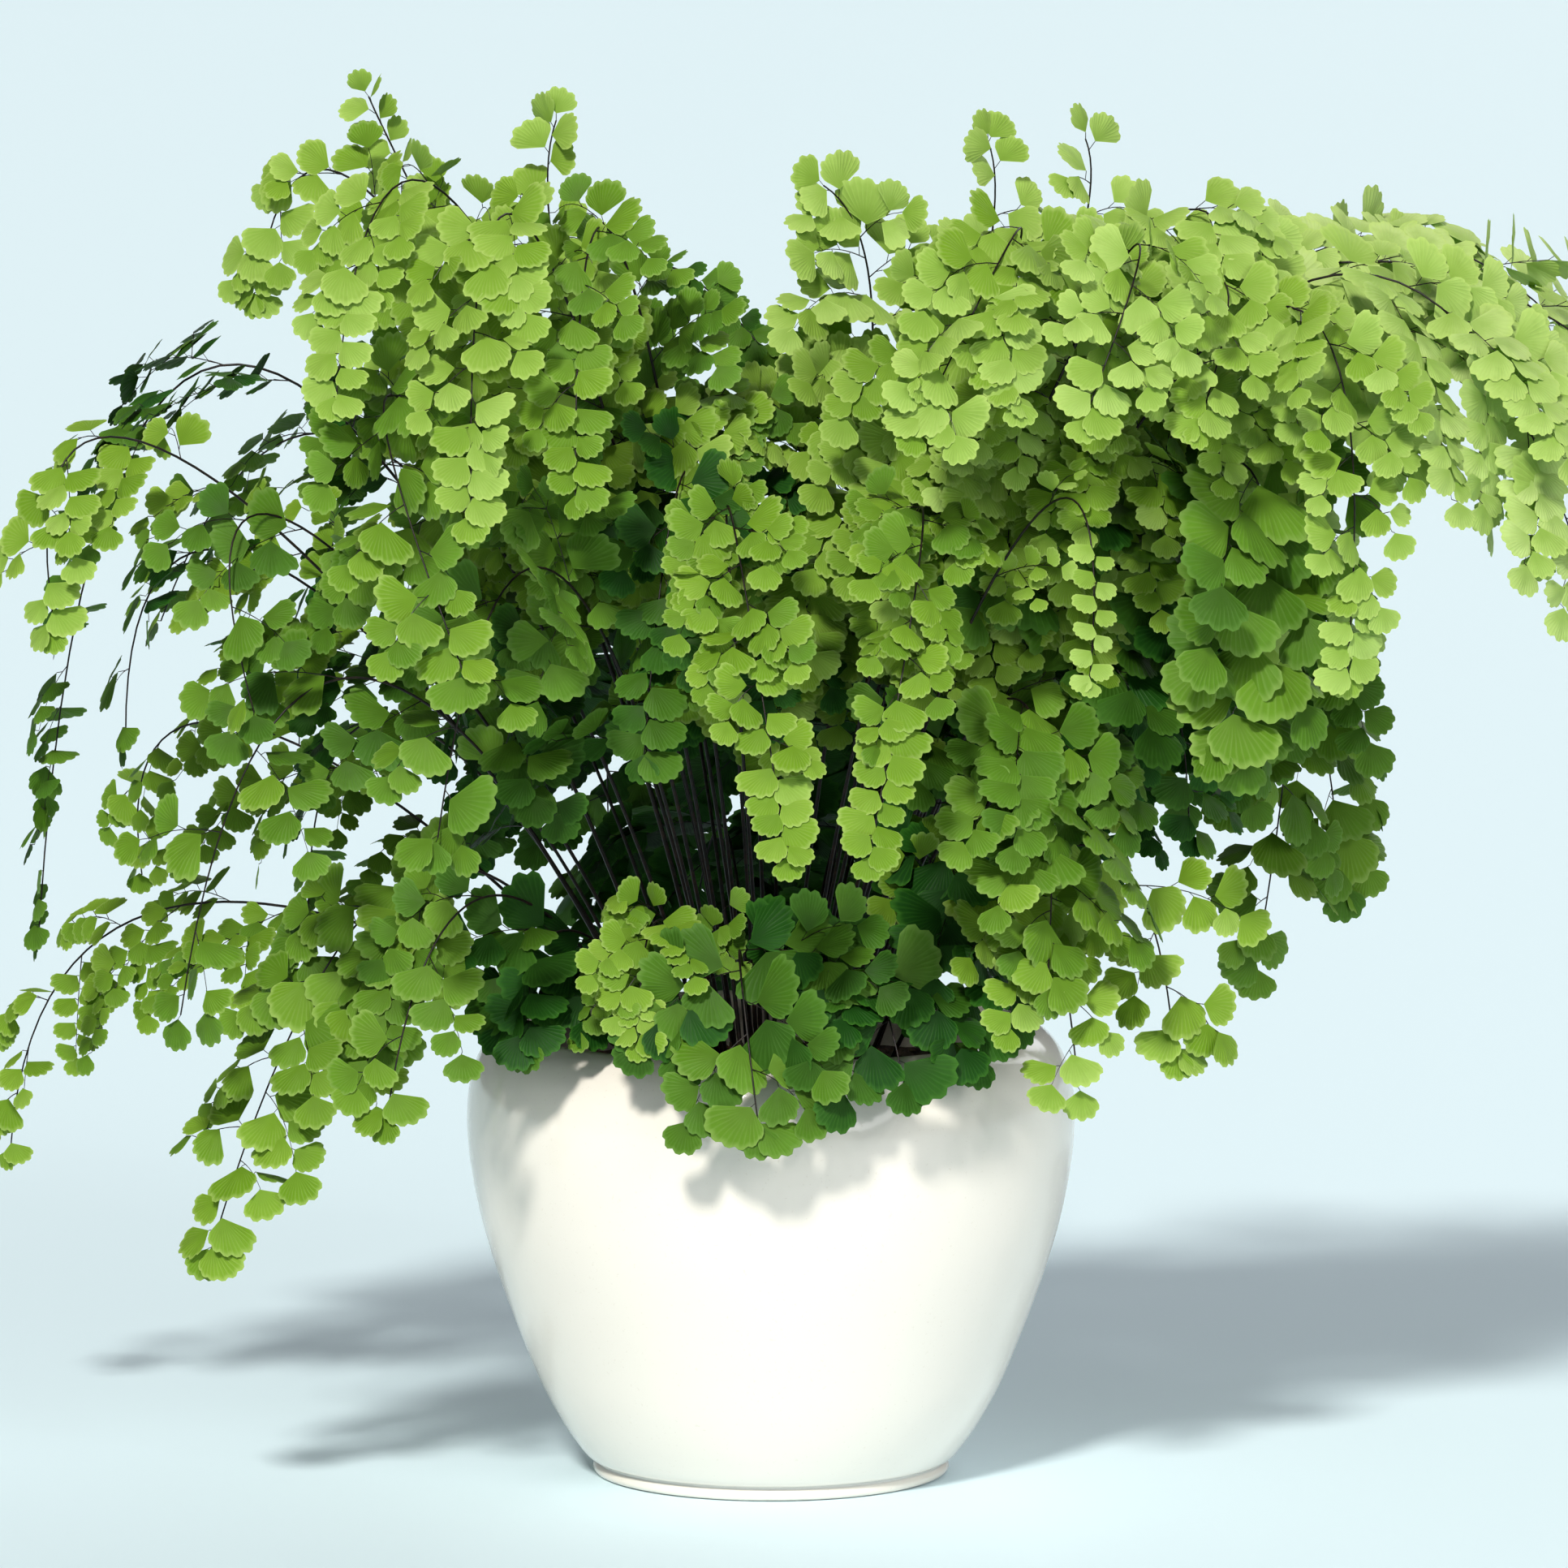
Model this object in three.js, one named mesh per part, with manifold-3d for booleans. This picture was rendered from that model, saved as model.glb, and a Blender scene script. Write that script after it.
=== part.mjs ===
// A maidenhair fern in a glazed ceramic pot.
// Millimetres, +Z up. The origin is the centre of the pot's flat foot, on the surface it stands on.
// +X is to the right and -Y towards the viewer, with the plant's fullest side in front.
import * as THREE from "three";
import { mergeVertices } from "three/addons/utils/BufferGeometryUtils.js";
import Module from "manifold-3d";

const wasm = await Module();
wasm.setup();

// ---- driving dimensions ------------------------------------------------------------------------

const gap = 0.3; // between pieces that touch
const weld = 1e-4; // corners closer than this are one
const roundSides = 32; // facets round the pot, the mix and the crown

// each profile is a row of [radius, height]
const pot = {
  foot: [[0, 0], [57.8, 0], [58.8, 1], [58.8, 3], [58, 4]], // a rounded ring with a groove above it
  outside: [[59.4, 5], [70.5, 20], [86, 55.5], [95.4, 85], [100, 118], [97.6, 136], [89.4, 147]],
  lip: [[86, 148.5], [83, 147.2]],
  inside: [[52.8, 8], [66.8, 22], [84.5, 70], [94, 118], [91.5, 134], [82.4, 144.5]],
  outsideSteps: 10,
  insideSteps: 8,
  roomFrom: 58, // no frond hangs near the wall below this height
};

const mix = {
  top: 130, // leaves a watering space under the lip
  topRadius: 91,
};

const crown = {
  radius: 52,
  rise: 6, // above the mix
  sunk: 10, // below it
  underRadius: 36.4,
  rings: [0, 14, 27, 38, 46, 50.5], // radii at which its surface is drawn
  rootDepth: 51, // the stipes fan out from a point this far under the crown's foot line
  edge: 45, // and none stands further out than this
};

const stipe = {
  radius: 0.9,
  sides: 5,
  steps: 8, // stretches along a frond's axis
  seat: 0.7, // from the crown to the middle of the stipe's cut end
  leanOut: 0.3, // share of the way to its shoulder that a stipe has leaned
  leanUp: 0.6, // by this share of its rise
  shoulderAt: 0.6, // share of the curve at which it passes its shoulder
};

const pinna = {
  length: 82, // at the blade's widest place
  halfWidth: 16, // its leaflets' reach on each side
  thickness: 0.8,
  widestAt: 0.45, // share of its length
  shrink: 0.6, // how much shorter it is at the frond's tip
  firstStep: 4, // the stipe is bare below this step
  forward: 0.55, // how far a pinna leans along the rachis
  droop: 0.35, // and how far it hangs
  clear: 0.4, // from a pinna of another frond
  scales: [1, 0.85, 0.7, 0.55, 0.4, 0.28], // tried in turn until one fits
};

const tipPinna = { length: 24, halfWidth: 10, rooted: 1.2 };

// a blade faces outwards, upwards and, from the front to the middle of the plant, to the light
const facing = {
  outwards: 0.6,
  upwards: 0.5,
  light: [0, -0.93, 0.37],
  darkAt: 60, // how far back the light fades out
  fade: 120, // over this depth
  least: 0.1,
};

// A frond leaves the crown, passes its shoulder, where it turns over, and hangs to its tip.
// size scales its pinnae: young sprigs are small.
const fronds = [
  // the tall crest on the left
  { name: "crest_left_1", shoulder: [-92, -14, 372], tip: [-130, -20, 454], size: 0.7 },
  { name: "crest_left_2", shoulder: [-60, -26, 355], tip: [-69, -36, 447], size: 0.8 },
  { name: "crest_left_3", shoulder: [-114, -28, 405], tip: [-165, -42, 392] },
  { name: "crest_left_4", shoulder: [-93, -66, 412], tip: [-136, -128, 365], size: 0.85 },
  { name: "crest_left_5", shoulder: [-72, -82, 408], tip: [-93, -150, 330], size: 0.85 },
  { name: "crest_left_6", shoulder: [-46, -66, 402], tip: [-61, -135, 335], size: 0.8 },
  { name: "crest_left_7", shoulder: [-42, -8, 372], tip: [-2, -26, 372], size: 0.45 },
  { name: "crest_left_8", shoulder: [-112, -84, 355], tip: [-95, -160, 280] },
  { name: "crest_left_9", shoulder: [-66, -98, 305], tip: [-104, -150, 228] },
  // long fronds that hang on the left
  { name: "left_1", shoulder: [-168, 12, 364], tip: [-242, 20, 176], size: 0.8 },
  { name: "left_2", shoulder: [-186, -35, 335], tip: [-230, -60, 285], size: 0.8 },
  { name: "left_3", shoulder: [-146, -62, 315], tip: [-164, -98, 262] },
  { name: "left_4", shoulder: [-160, -12, 300], tip: [-210, -22, 245] },
  { name: "left_5", shoulder: [-128, -72, 270], tip: [-188, -98, 165] },
  { name: "left_6", shoulder: [-120, 28, 245], tip: [-154, 40, 172], size: 0.8 },
  { name: "left_7", shoulder: [-172, 98, 235], tip: [-215, 130, 182] },
  { name: "left_8", shoulder: [-190, 70, 180], tip: [-258, 95, 92] },
  { name: "left_9", shoulder: [-110, -44, 205], tip: [-180, -72, 86] },
  { name: "left_10", shoulder: [-88, -70, 200], tip: [-122, -104, 134], size: 0.8 },
  // the middle, seen from the front
  { name: "front_1", shoulder: [-14, -84, 324], tip: [5, -158, 224], size: 0.3 },
  { name: "front_2", shoulder: [46, -86, 324], tip: [31, -158, 224], size: 0.3 },
  { name: "front_3", shoulder: [-22, -56, 332], tip: [-40, -108, 250], size: 0.7 },
  { name: "front_4", shoulder: [-6, 34, 346], tip: [30, 84, 322], size: 0.8 },
  { name: "front_5", shoulder: [-10, -84, 184], tip: [-4, -120, 134], size: 0.75 },
  { name: "front_6", shoulder: [-34, -72, 192], tip: [-42, -104, 158], size: 0.55 },
  { name: "front_7", shoulder: [-62, -54, 186], tip: [-84, -76, 160], size: 0.8 },
  { name: "front_8", shoulder: [28, -80, 178], tip: [42, -110, 146], size: 0.8 },
  { name: "front_9", shoulder: [52, -56, 196], tip: [66, -86, 152], size: 0.7 },
  // the tall crest on the right
  { name: "crest_right_1", shoulder: [32, -20, 350], tip: [17, -34, 426] },
  { name: "crest_right_2", shoulder: [60, -22, 355], tip: [70, -32, 440], size: 0.75 },
  { name: "crest_right_3", shoulder: [84, -10, 355], tip: [102, -14, 440], size: 0.75 },
  { name: "crest_right_4", shoulder: [106, -48, 390], tip: [148, -84, 394] },
  { name: "crest_right_5", shoulder: [150, 4, 386], tip: [318, -8, 326], size: 1.2 },
  { name: "crest_right_6", shoulder: [160, -48, 390], tip: [262, -84, 296], size: 1.2 },
  { name: "crest_right_7", shoulder: [150, 56, 380], tip: [270, 72, 366], size: 1.15 },
  { name: "crest_right_8", shoulder: [146, -86, 384], tip: [182, -118, 278], size: 0.8 },
  { name: "crest_right_9", shoulder: [76, -78, 398], tip: [46, -142, 356], size: 0.8 },
  { name: "crest_right_10", shoulder: [104, -88, 392], tip: [98, -150, 360], size: 0.7 },
  { name: "crest_right_11", shoulder: [124, -62, 378], tip: [134, -134, 356], size: 0.85 },
  { name: "crest_right_12", shoulder: [134, -64, 335], tip: [150, -96, 250] },
  { name: "crest_right_13", shoulder: [82, -98, 322], tip: [100, -140, 276], size: 0.5 },
  // the right flank
  { name: "right_1", shoulder: [150, 56, 310], tip: [164, 100, 154] },
  { name: "right_2", shoulder: [140, 92, 290], tip: [194, 122, 180] },
  { name: "right_3", shoulder: [102, -10, 282], tip: [136, -32, 216] },
  { name: "right_4", shoulder: [74, -62, 262], tip: [88, -108, 176] },
  { name: "right_5", shoulder: [98, -36, 212], tip: [130, -64, 150], size: 0.8 },
  { name: "right_6", shoulder: [74, -66, 205], tip: [98, -98, 142], size: 0.75 },
  // the back
  { name: "back_1", shoulder: [-100, 88, 355], tip: [-150, 168, 300] },
  { name: "back_2", shoulder: [-52, 112, 345], tip: [-80, 204, 262] },
  { name: "back_3", shoulder: [4, 96, 272], tip: [8, 168, 176] },
  { name: "back_4", shoulder: [62, 108, 350], tip: [94, 202, 268] },
  { name: "back_5", shoulder: [108, 82, 366], tip: [176, 150, 315] },
  { name: "back_6", shoulder: [-46, 98, 268], tip: [-56, 176, 178] },
  { name: "back_7", shoulder: [52, 104, 268], tip: [60, 178, 176] },
  { name: "back_8", shoulder: [-124, 48, 330], tip: [-206, 100, 272] },
  { name: "back_9", shoulder: [-16, 66, 206], tip: [-30, 112, 140], size: 0.8 },
  { name: "back_10", shoulder: [24, 60, 206], tip: [36, 110, 140], size: 0.8 },
];

// ---- colours -----------------------------------------------------------------------------------

const glaze = { color: 0xf3efe4, roughness: 0.12, metalness: 0 };
const peat = { color: 0x33241a, roughness: 0.95, metalness: 0 };
const rootBrown = { color: 0x3a2417, roughness: 0.85, metalness: 0 };
const leafGreen = { color: 0x7fb52c, roughness: 0.5, metalness: 0 };

const named = (name, geometry, finish) => {
  const mesh = new THREE.Mesh(geometry, new THREE.MeshStandardMaterial(finish));
  mesh.name = name;
  return mesh;
};

// ---- joining and cutting -----------------------------------------------------------------------

const toSolid = (geometry) => {
  const bare = geometry.clone();
  bare.deleteAttribute("normal");
  bare.deleteAttribute("uv");
  const merged = mergeVertices(bare, weld);
  return new wasm.Manifold(new wasm.Mesh({
    numProp: 3,
    vertProperties: new Float32Array(merged.attributes.position.array),
    triVerts: new Uint32Array(merged.index.array),
  }));
};

const toGeometry = (solid) => {
  const mesh = solid.getMesh();
  const geometry = new THREE.BufferGeometry();
  geometry.setAttribute("position", new THREE.BufferAttribute(mesh.vertProperties, mesh.numProp));
  geometry.setIndex(new THREE.BufferAttribute(mesh.triVerts, 1));
  geometry.computeVertexNormals();
  return geometry;
};

// ---- the pot -----------------------------------------------------------------------------------

const toPoints = (profile) => profile.map(([radius, height]) => new THREE.Vector2(radius, height));

// a profile is turned so that its axis stands along +Z
const turned = (points) => new THREE.LatheGeometry(points, roundSides).rotateX(Math.PI / 2);

const outerWall = () => new THREE.SplineCurve(toPoints(pot.outside)).getPoints(pot.outsideSteps);

const innerWall = () => new THREE.SplineCurve(toPoints(pot.inside)).getPoints(pot.insideSteps);

const makePot = () => turned([
  ...toPoints(pot.foot),
  ...outerWall(),
  ...toPoints(pot.lip),
  ...innerWall().reverse(),
  new THREE.Vector2(0, pot.inside[0][1]),
]);

// the upper wall grown by the gap, which fronds keep out of
const makePotRoom = () => {
  const grown = (points, outwards) => points
    .filter((point) => point.y > pot.roomFrom)
    .map((point) => new THREE.Vector2(point.x + outwards, point.y + gap));
  const outside = grown(outerWall(), gap);
  const inside = grown(innerWall(), -gap).reverse();
  return turned([...outside, ...grown(toPoints(pot.lip), 0), ...inside, outside[0]]);
};

// ---- the potting mix and the crown -------------------------------------------------------------

// height of the crown's surface at a distance from the axis
const crownHeight = (radius) => {
  const share = Math.min(radius / crown.radius, 1);
  return mix.top + crown.rise * Math.sqrt(1 - share * share);
};

// the crown's surface from its edge to its middle, raised a little
const crownTop = (raised) => crown.rings.toReversed()
  .map((radius) => new THREE.Vector2(radius, crownHeight(radius) + raised));

const makeCrown = () => {
  const bottom = mix.top - crown.sunk;
  return turned([
    new THREE.Vector2(0, bottom),
    new THREE.Vector2(crown.underRadius, bottom),
    new THREE.Vector2(crown.radius, mix.top),
    ...crownTop(0),
  ]);
};

const makeMix = () => {
  const [potCorner, potFloor] = pot.inside[0];
  const side = innerWall()
    .filter((point) => point.y > potFloor + gap && point.y < mix.top)
    .map((point) => new THREE.Vector2(point.x - 2 * gap, point.y));
  const hollow = mix.top - crown.sunk - gap; // the crown sits in it
  return turned([
    new THREE.Vector2(0, potFloor + gap),
    new THREE.Vector2(potCorner - gap, potFloor + gap),
    ...side,
    new THREE.Vector2(mix.topRadius, mix.top),
    new THREE.Vector2(crown.radius + 2 * gap, mix.top),
    new THREE.Vector2(crown.underRadius + 2 * gap, hollow),
    new THREE.Vector2(0, hollow),
  ]);
};

// the top of the mix and the crown grown by the gap
const makeMixRoom = () => {
  const bottom = mix.top - crown.sunk;
  return turned([
    new THREE.Vector2(0, bottom),
    new THREE.Vector2(mix.topRadius + gap, bottom),
    new THREE.Vector2(mix.topRadius + gap, mix.top + gap),
    new THREE.Vector2(crown.radius + 2 * gap, mix.top + gap),
    ...crownTop(gap),
  ]);
};

// ---- the fronds --------------------------------------------------------------------------------

const up = new THREE.Vector3(0, 0, 1);
const light = new THREE.Vector3(...facing.light);

// A frond's axis: it leaves the crown on a ray from one point below it, leans out, passes its
// shoulder at a fixed share of the curve and ends at its tip.
const frondAxis = ({ shoulder, tip }) => {
  const top = new THREE.Vector3(...shoulder);
  const end = new THREE.Vector3(...tip);
  const spread = crown.rootDepth / (top.z - mix.top + crown.rootDepth);
  const foot = new THREE.Vector3(top.x * spread, top.y * spread, 0).clampLength(0, crown.edge);
  foot.z = crownHeight(foot.length()) + stipe.seat;
  const lean = foot.clone().lerp(top, stipe.leanOut);
  lean.z = foot.z + stipe.leanUp * (top.z - foot.z);
  const u = stipe.shoulderAt;
  const v = 1 - u;
  const bend = top.clone()
    .addScaledVector(foot, -(v ** 3))
    .addScaledVector(lean, -3 * v * v * u)
    .addScaledVector(end, -(u ** 3))
    .divideScalar(3 * v * u * u); // the control that takes the curve through the shoulder
  return new THREE.CubicBezierCurve3(foot, lean, bend, end);
};

const roundSection = (radius) => {
  const corners = [];
  for (let k = 0; k < stipe.sides; k++) {
    const angle = (2 * Math.PI * k) / stipe.sides;
    corners.push(new THREE.Vector2(radius * Math.cos(angle), radius * Math.sin(angle)));
  }
  return new THREE.Shape(corners);
};

const axisTube = (axis, radius) => new THREE.ExtrudeGeometry(roundSection(radius), {
  steps: stipe.steps,
  extrudePath: axis,
});

// a flat kite: pointed at its root, widest before the middle
const plate = ({ root, along, normal }, length, halfWidth, grow) => {
  const outline = new THREE.Shape([
    new THREE.Vector2(-grow, 0),
    new THREE.Vector2(length * pinna.widestAt, -halfWidth - grow),
    new THREE.Vector2(length + grow, 0),
    new THREE.Vector2(length * pinna.widestAt, halfWidth + grow),
  ]);
  const depth = pinna.thickness + 2 * grow;
  const geometry = new THREE.ExtrudeGeometry(outline, { depth, bevelEnabled: false });
  const across = new THREE.Vector3().crossVectors(normal, along).normalize();
  const upright = new THREE.Vector3().crossVectors(along, across);
  const place = new THREE.Matrix4().makeBasis(along, across, upright).setPosition(root);
  return geometry.translate(0, 0, -depth / 2).applyMatrix4(place);
};

const facingAt = (point) => {
  const lit = THREE.MathUtils.clamp((facing.darkAt - point.y) / facing.fade, facing.least, 1);
  return new THREE.Vector3(point.x, point.y, 0).normalize()
    .multiplyScalar(facing.outwards)
    .addScaledVector(up, facing.upwards)
    .addScaledVector(light, lit)
    .normalize();
};

// where a frond's pinnae spring from its axis, and how long and wide each may be
const pinnaPlaces = (frond, axis) => {
  const size = frond.size ?? 1;
  const places = [];
  for (let step = pinna.firstStep; step < stipe.steps - 1; step++) {
    const share = (step - pinna.firstStep) / (stipe.steps - pinna.firstStep);
    const before = axis.getPointAt(step / stipe.steps);
    const after = axis.getPointAt((step + 1) / stipe.steps);
    const root = before.clone().lerp(after, 0.5); // halfway along a straight stretch of the tube
    const ahead = after.sub(before).normalize();
    const normal = facingAt(root);
    const along = new THREE.Vector3().crossVectors(ahead, normal).normalize()
      .multiplyScalar(step % 2 ? 1 : -1)
      .addScaledVector(ahead, pinna.forward)
      .addScaledVector(up, -pinna.droop)
      .normalize();
    const length = size * pinna.length * (1 - pinna.shrink * share);
    places.push({ root, along, normal, length, halfWidth: size * pinna.halfWidth });
  }
  const end = axis.getPointAt(1);
  const along = axis.getTangentAt(1);
  places.unshift({
    root: end.clone().addScaledVector(along, -tipPinna.rooted),
    along,
    normal: facingAt(end),
    length: size * tipPinna.length,
    halfWidth: size * tipPinna.halfWidth,
  });
  return places;
};

const meets = (a, b) => {
  const one = a.boundingBox();
  const two = b.boundingBox();
  if ([0, 1, 2].some((k) => one.max[k] < two.min[k] || two.max[k] < one.min[k])) return false;
  return !a.intersect(b).isEmpty();
};

// Pinnae grow one after another, and each is as large as its neighbours leave room for, so no
// two fronds meet. A pinna with no room at all stays away.
const growPinna = (frond, place, taken) => {
  for (const scale of pinna.scales) {
    const sizes = [place.length * scale, place.halfWidth * Math.sqrt(scale)];
    const solid = toSolid(plate(place, ...sizes, 0));
    if (taken.some(({ owner, room }) => owner !== frond && meets(solid, room))) continue;
    frond.solid = frond.solid.add(solid);
    taken.push({ owner: frond, room: toSolid(plate(place, ...sizes, pinna.clear)) });
    return;
  }
};

const makeFronds = () => {
  const taken = [{ room: toSolid(makePotRoom()) }, { room: toSolid(makeMixRoom()) }];
  const grown = fronds.map((row) => {
    const axis = frondAxis(row);
    const frond = { name: `frond_${row.name}`, solid: toSolid(axisTube(axis, stipe.radius)) };
    frond.places = pinnaPlaces(row, axis);
    taken.push({ owner: frond, room: toSolid(axisTube(axis, stipe.radius + 2 * gap)) });
    return frond;
  });
  for (const k of grown[0].places.keys()) {
    for (const frond of grown) growPinna(frond, frond.places[k], taken);
  }
  return grown.map(({ name, solid }) => named(name, toGeometry(solid), leafGreen));
};

// ---- the whole plant ---------------------------------------------------------------------------

const plant = new THREE.Group();
plant.add(named("pot", makePot(), glaze));
plant.add(named("potting_mix", makeMix(), peat));
plant.add(named("rhizome", makeCrown(), rootBrown));
plant.add(...makeFronds());

export default plant;
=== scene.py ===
# A maidenhair fern in a cream glazed pot. Metres, +Z up, the pot's foot on z = 0.
import math
import random

import bpy
from mathutils import Matrix, Vector


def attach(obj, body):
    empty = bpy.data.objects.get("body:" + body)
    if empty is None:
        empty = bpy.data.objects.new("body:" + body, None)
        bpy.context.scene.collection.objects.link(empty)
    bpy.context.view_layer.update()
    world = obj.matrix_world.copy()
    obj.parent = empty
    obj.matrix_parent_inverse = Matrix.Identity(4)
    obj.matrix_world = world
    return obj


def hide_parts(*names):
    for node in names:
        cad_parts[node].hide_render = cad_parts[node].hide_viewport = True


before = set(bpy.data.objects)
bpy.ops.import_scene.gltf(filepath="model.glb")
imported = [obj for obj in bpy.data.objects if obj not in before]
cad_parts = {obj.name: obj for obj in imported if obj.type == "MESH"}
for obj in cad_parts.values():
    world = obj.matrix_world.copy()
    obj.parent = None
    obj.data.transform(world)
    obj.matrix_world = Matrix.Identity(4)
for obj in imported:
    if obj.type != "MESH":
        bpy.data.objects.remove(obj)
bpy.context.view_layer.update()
down = Vector((0, 0, -1))
up = Vector((0, 0, 1))


def deselectAll():
    for thing in bpy.context.selected_objects:
        thing.select_set(False)


def choose(*pieces):
    deselectAll()
    for piece in pieces:
        piece.select_set(True)
    bpy.context.view_layer.objects.active = pieces[0]


def latest(name):
    piece = bpy.context.object
    piece.name = piece.data.name = name
    return piece


def inEditMode(*steps):
    bpy.ops.object.mode_set(mode="EDIT")
    bpy.ops.mesh.select_mode(type="VERT")
    bpy.ops.mesh.select_all(action="SELECT")
    for operator, settings in steps:
        operator(**settings)
    bpy.ops.object.mode_set(mode="OBJECT")


def selectOnly(piece, kind, wanted):
    # leaves the piece in edit mode; the select mode comes first, since it changes what is selected
    bpy.ops.object.mode_set(mode="EDIT")
    bpy.ops.mesh.select_mode(type=kind)
    bpy.ops.object.mode_set(mode="OBJECT")
    for element in piece.data.edges if kind == "EDGE" else piece.data.polygons:
        element.select = wanted(element)
    bpy.ops.object.mode_set(mode="EDIT")


def applyModifier(piece, kind, **settings):
    modifier = piece.modifiers.new(kind.title(), kind)
    for name, value in settings.items():
        setattr(modifier, name, value)
    choose(piece)
    bpy.ops.object.modifier_apply(modifier=modifier.name)


def smooth(piece, degrees):
    choose(piece)
    bpy.ops.object.shade_smooth_by_angle(angle=math.radians(degrees))


def clouds(name, scale):
    texture = bpy.data.textures.new(name, "CLOUDS")
    texture.noise_scale = scale
    return texture


def uprightAlong(direction):
    return direction.to_track_quat("Z", "Y").to_matrix().to_4x4()


def finished(piece, slot, material, *nodes):
    piece.data.materials.clear()
    piece.data.materials.append(material)
    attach(piece, "root")
    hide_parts(*nodes)
    return piece


class Wire:
    # a shader socket: maths on it adds the nodes that work it out
    def __init__(self, tree, socket=None):
        self.tree = tree
        self.socket = socket

    def add(self, kind, settings, sockets, output=0):
        node = self.tree.nodes.new(kind)
        for name, value in settings.items():
            if name == "stops":
                self.setStops(node.color_ramp, value)
            else:
                setattr(node, name, value)
        for place, value in sockets.items():
            if isinstance(value, Wire):
                self.tree.links.new(value.socket, node.inputs[place])
            else:
                node.inputs[place].default_value = value
        return Wire(self.tree, node.outputs[output] if len(node.outputs) else None)

    def setStops(self, ramp, stops):
        while len(ramp.elements) < len(stops):
            ramp.elements.new(1.0)
        for element, (place, colour) in zip(ramp.elements, stops):
            element.position = place
            element.color = (*colour, 1.0)

    def maths(self, operation, first, second=0.0):
        return self.add("ShaderNodeMath", {"operation": operation}, {0: first, 1: second})

    def __add__(self, other):
        return self.maths("ADD", self, other)

    __radd__ = __add__

    def __mul__(self, other):
        return self.maths("MULTIPLY", self, other)

    __rmul__ = __mul__

    def __sub__(self, other):
        return self.maths("SUBTRACT", self, other)

    def __rsub__(self, other):
        return self.maths("SUBTRACT", other, self)

    def __pow__(self, other):
        return self.maths("POWER", self, other)

    def step(self, low, high):
        sockets = {"Value": self, "From Min": low, "From Max": high}
        return self.add("ShaderNodeMapRange", {"interpolation_type": "SMOOTHSTEP"}, sockets)

    def fade(self, first, second):
        sockets = {0: self, 6: first, 7: second}
        return self.add("ShaderNodeMix", {"data_type": "RGBA"}, sockets, 2)

    def noise(self, where, scale, detail=3.0):
        return self.add("ShaderNodeTexNoise", {}, {"Vector": where, "Scale": scale, "Detail": detail})

    def bump(self, height, strength, distance):
        sockets = {"Strength": strength, "Distance": distance, "Height": height}
        return self.add("ShaderNodeBump", {}, sockets)


def newMaterial(name):
    material = bpy.data.materials.new(name)
    material.use_nodes = True
    material.node_tree.nodes.clear()
    return material, Wire(material.node_tree)


def surface(tools, sockets):
    shader = tools.add("ShaderNodeBsdfPrincipled", {}, sockets)
    tools.add("ShaderNodeOutputMaterial", {}, {"Surface": shader})


def objectPlace(tools):
    return tools.add("ShaderNodeTexCoord", {}, {}, 3)


camera = {
    "place": (0.0043, -3.2, 0.592),
    "aim": (0.0043, 0.0, 0.228),
    "lens": 225.5,
    "sensor": 36,
    "sees": 50,
}

studio = {
    "floor": (0.70, 0.86, 0.93),
    "floorSize": 60.0,
    "world": (0.97, 0.95, 1.0),
    "worldStrength": 0.20,
    "sky": (0.64, 0.76, 0.79),
    "lampsAim": (0, 0, 0.25),
}

lamps = [
    {"name": "key", "kind": "SUN", "place": (-0.75, -2.6, 2.6),
     "spread": 8, "power": 3.2, "colour": (1.0, 0.97, 0.90)},
    {"name": "fill", "kind": "SUN", "place": (1.7, -2.6, 1.5),
     "spread": 30, "power": 0.9, "colour": (1.0, 0.99, 0.97)},
    {"name": "back", "kind": "SUN", "place": (1.4, 2.6, 2.2),
     "spread": 40, "power": 0.8, "colour": (0.97, 0.99, 1.0)},
    {"name": "glint", "kind": "AREA", "place": (2.0, -1.9, 1.7),
     "spread": 0.12, "power": 4, "colour": (1.0, 1.0, 1.0)},
]


def makeStage():
    bpy.ops.object.camera_add(location=camera["place"])
    view = latest("camera")
    sight = Vector(camera["aim"]) - Vector(camera["place"])
    view.rotation_euler = sight.to_track_quat("-Z", "Y").to_euler()
    view.data.lens = camera["lens"]
    view.data.sensor_width = camera["sensor"]
    view.data.clip_end = camera["sees"]
    bpy.context.scene.camera = view
    for lamp in lamps:
        bpy.ops.object.light_add(type=lamp["kind"], location=lamp["place"])
        light = latest(lamp["name"])
        light.data.energy = lamp["power"]
        light.data.color = lamp["colour"]
        if lamp["kind"] == "SUN":
            light.data.angle = math.radians(lamp["spread"])
        else:
            light.data.size = lamp["spread"]
        sight = Vector(studio["lampsAim"]) - Vector(lamp["place"])
        light.rotation_euler = sight.to_track_quat("-Z", "Y").to_euler()
    bpy.ops.mesh.primitive_plane_add(size=studio["floorSize"])
    floor = latest("floor")
    material, tools = newMaterial("pale paper")
    surface(tools, {"Base Color": (*studio["floor"], 1), "Roughness": 0.7})
    floor.data.materials.append(material)
    world = bpy.data.worlds.new("studio")
    world.use_nodes = True
    nodes, links = world.node_tree.nodes, world.node_tree.links
    background = nodes["Background"]
    background.inputs["Color"].default_value = (*studio["world"], 1)
    background.inputs["Strength"].default_value = studio["worldStrength"]
    # the sky is seen as pale as the floor, and lights the fern less
    sky = nodes.new("ShaderNodeBackground")
    sky.inputs["Color"].default_value = (*studio["sky"], 1)
    both = nodes.new("ShaderNodeMixShader")
    links.new(nodes.new("ShaderNodeLightPath").outputs["Is Camera Ray"], both.inputs[0])
    links.new(background.outputs[0], both.inputs[1])
    links.new(sky.outputs[0], both.inputs[2])
    links.new(both.outputs[0], nodes["World Output"].inputs["Surface"])
    bpy.context.scene.world = world
    bpy.context.scene.view_settings.view_transform = "Standard"


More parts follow.
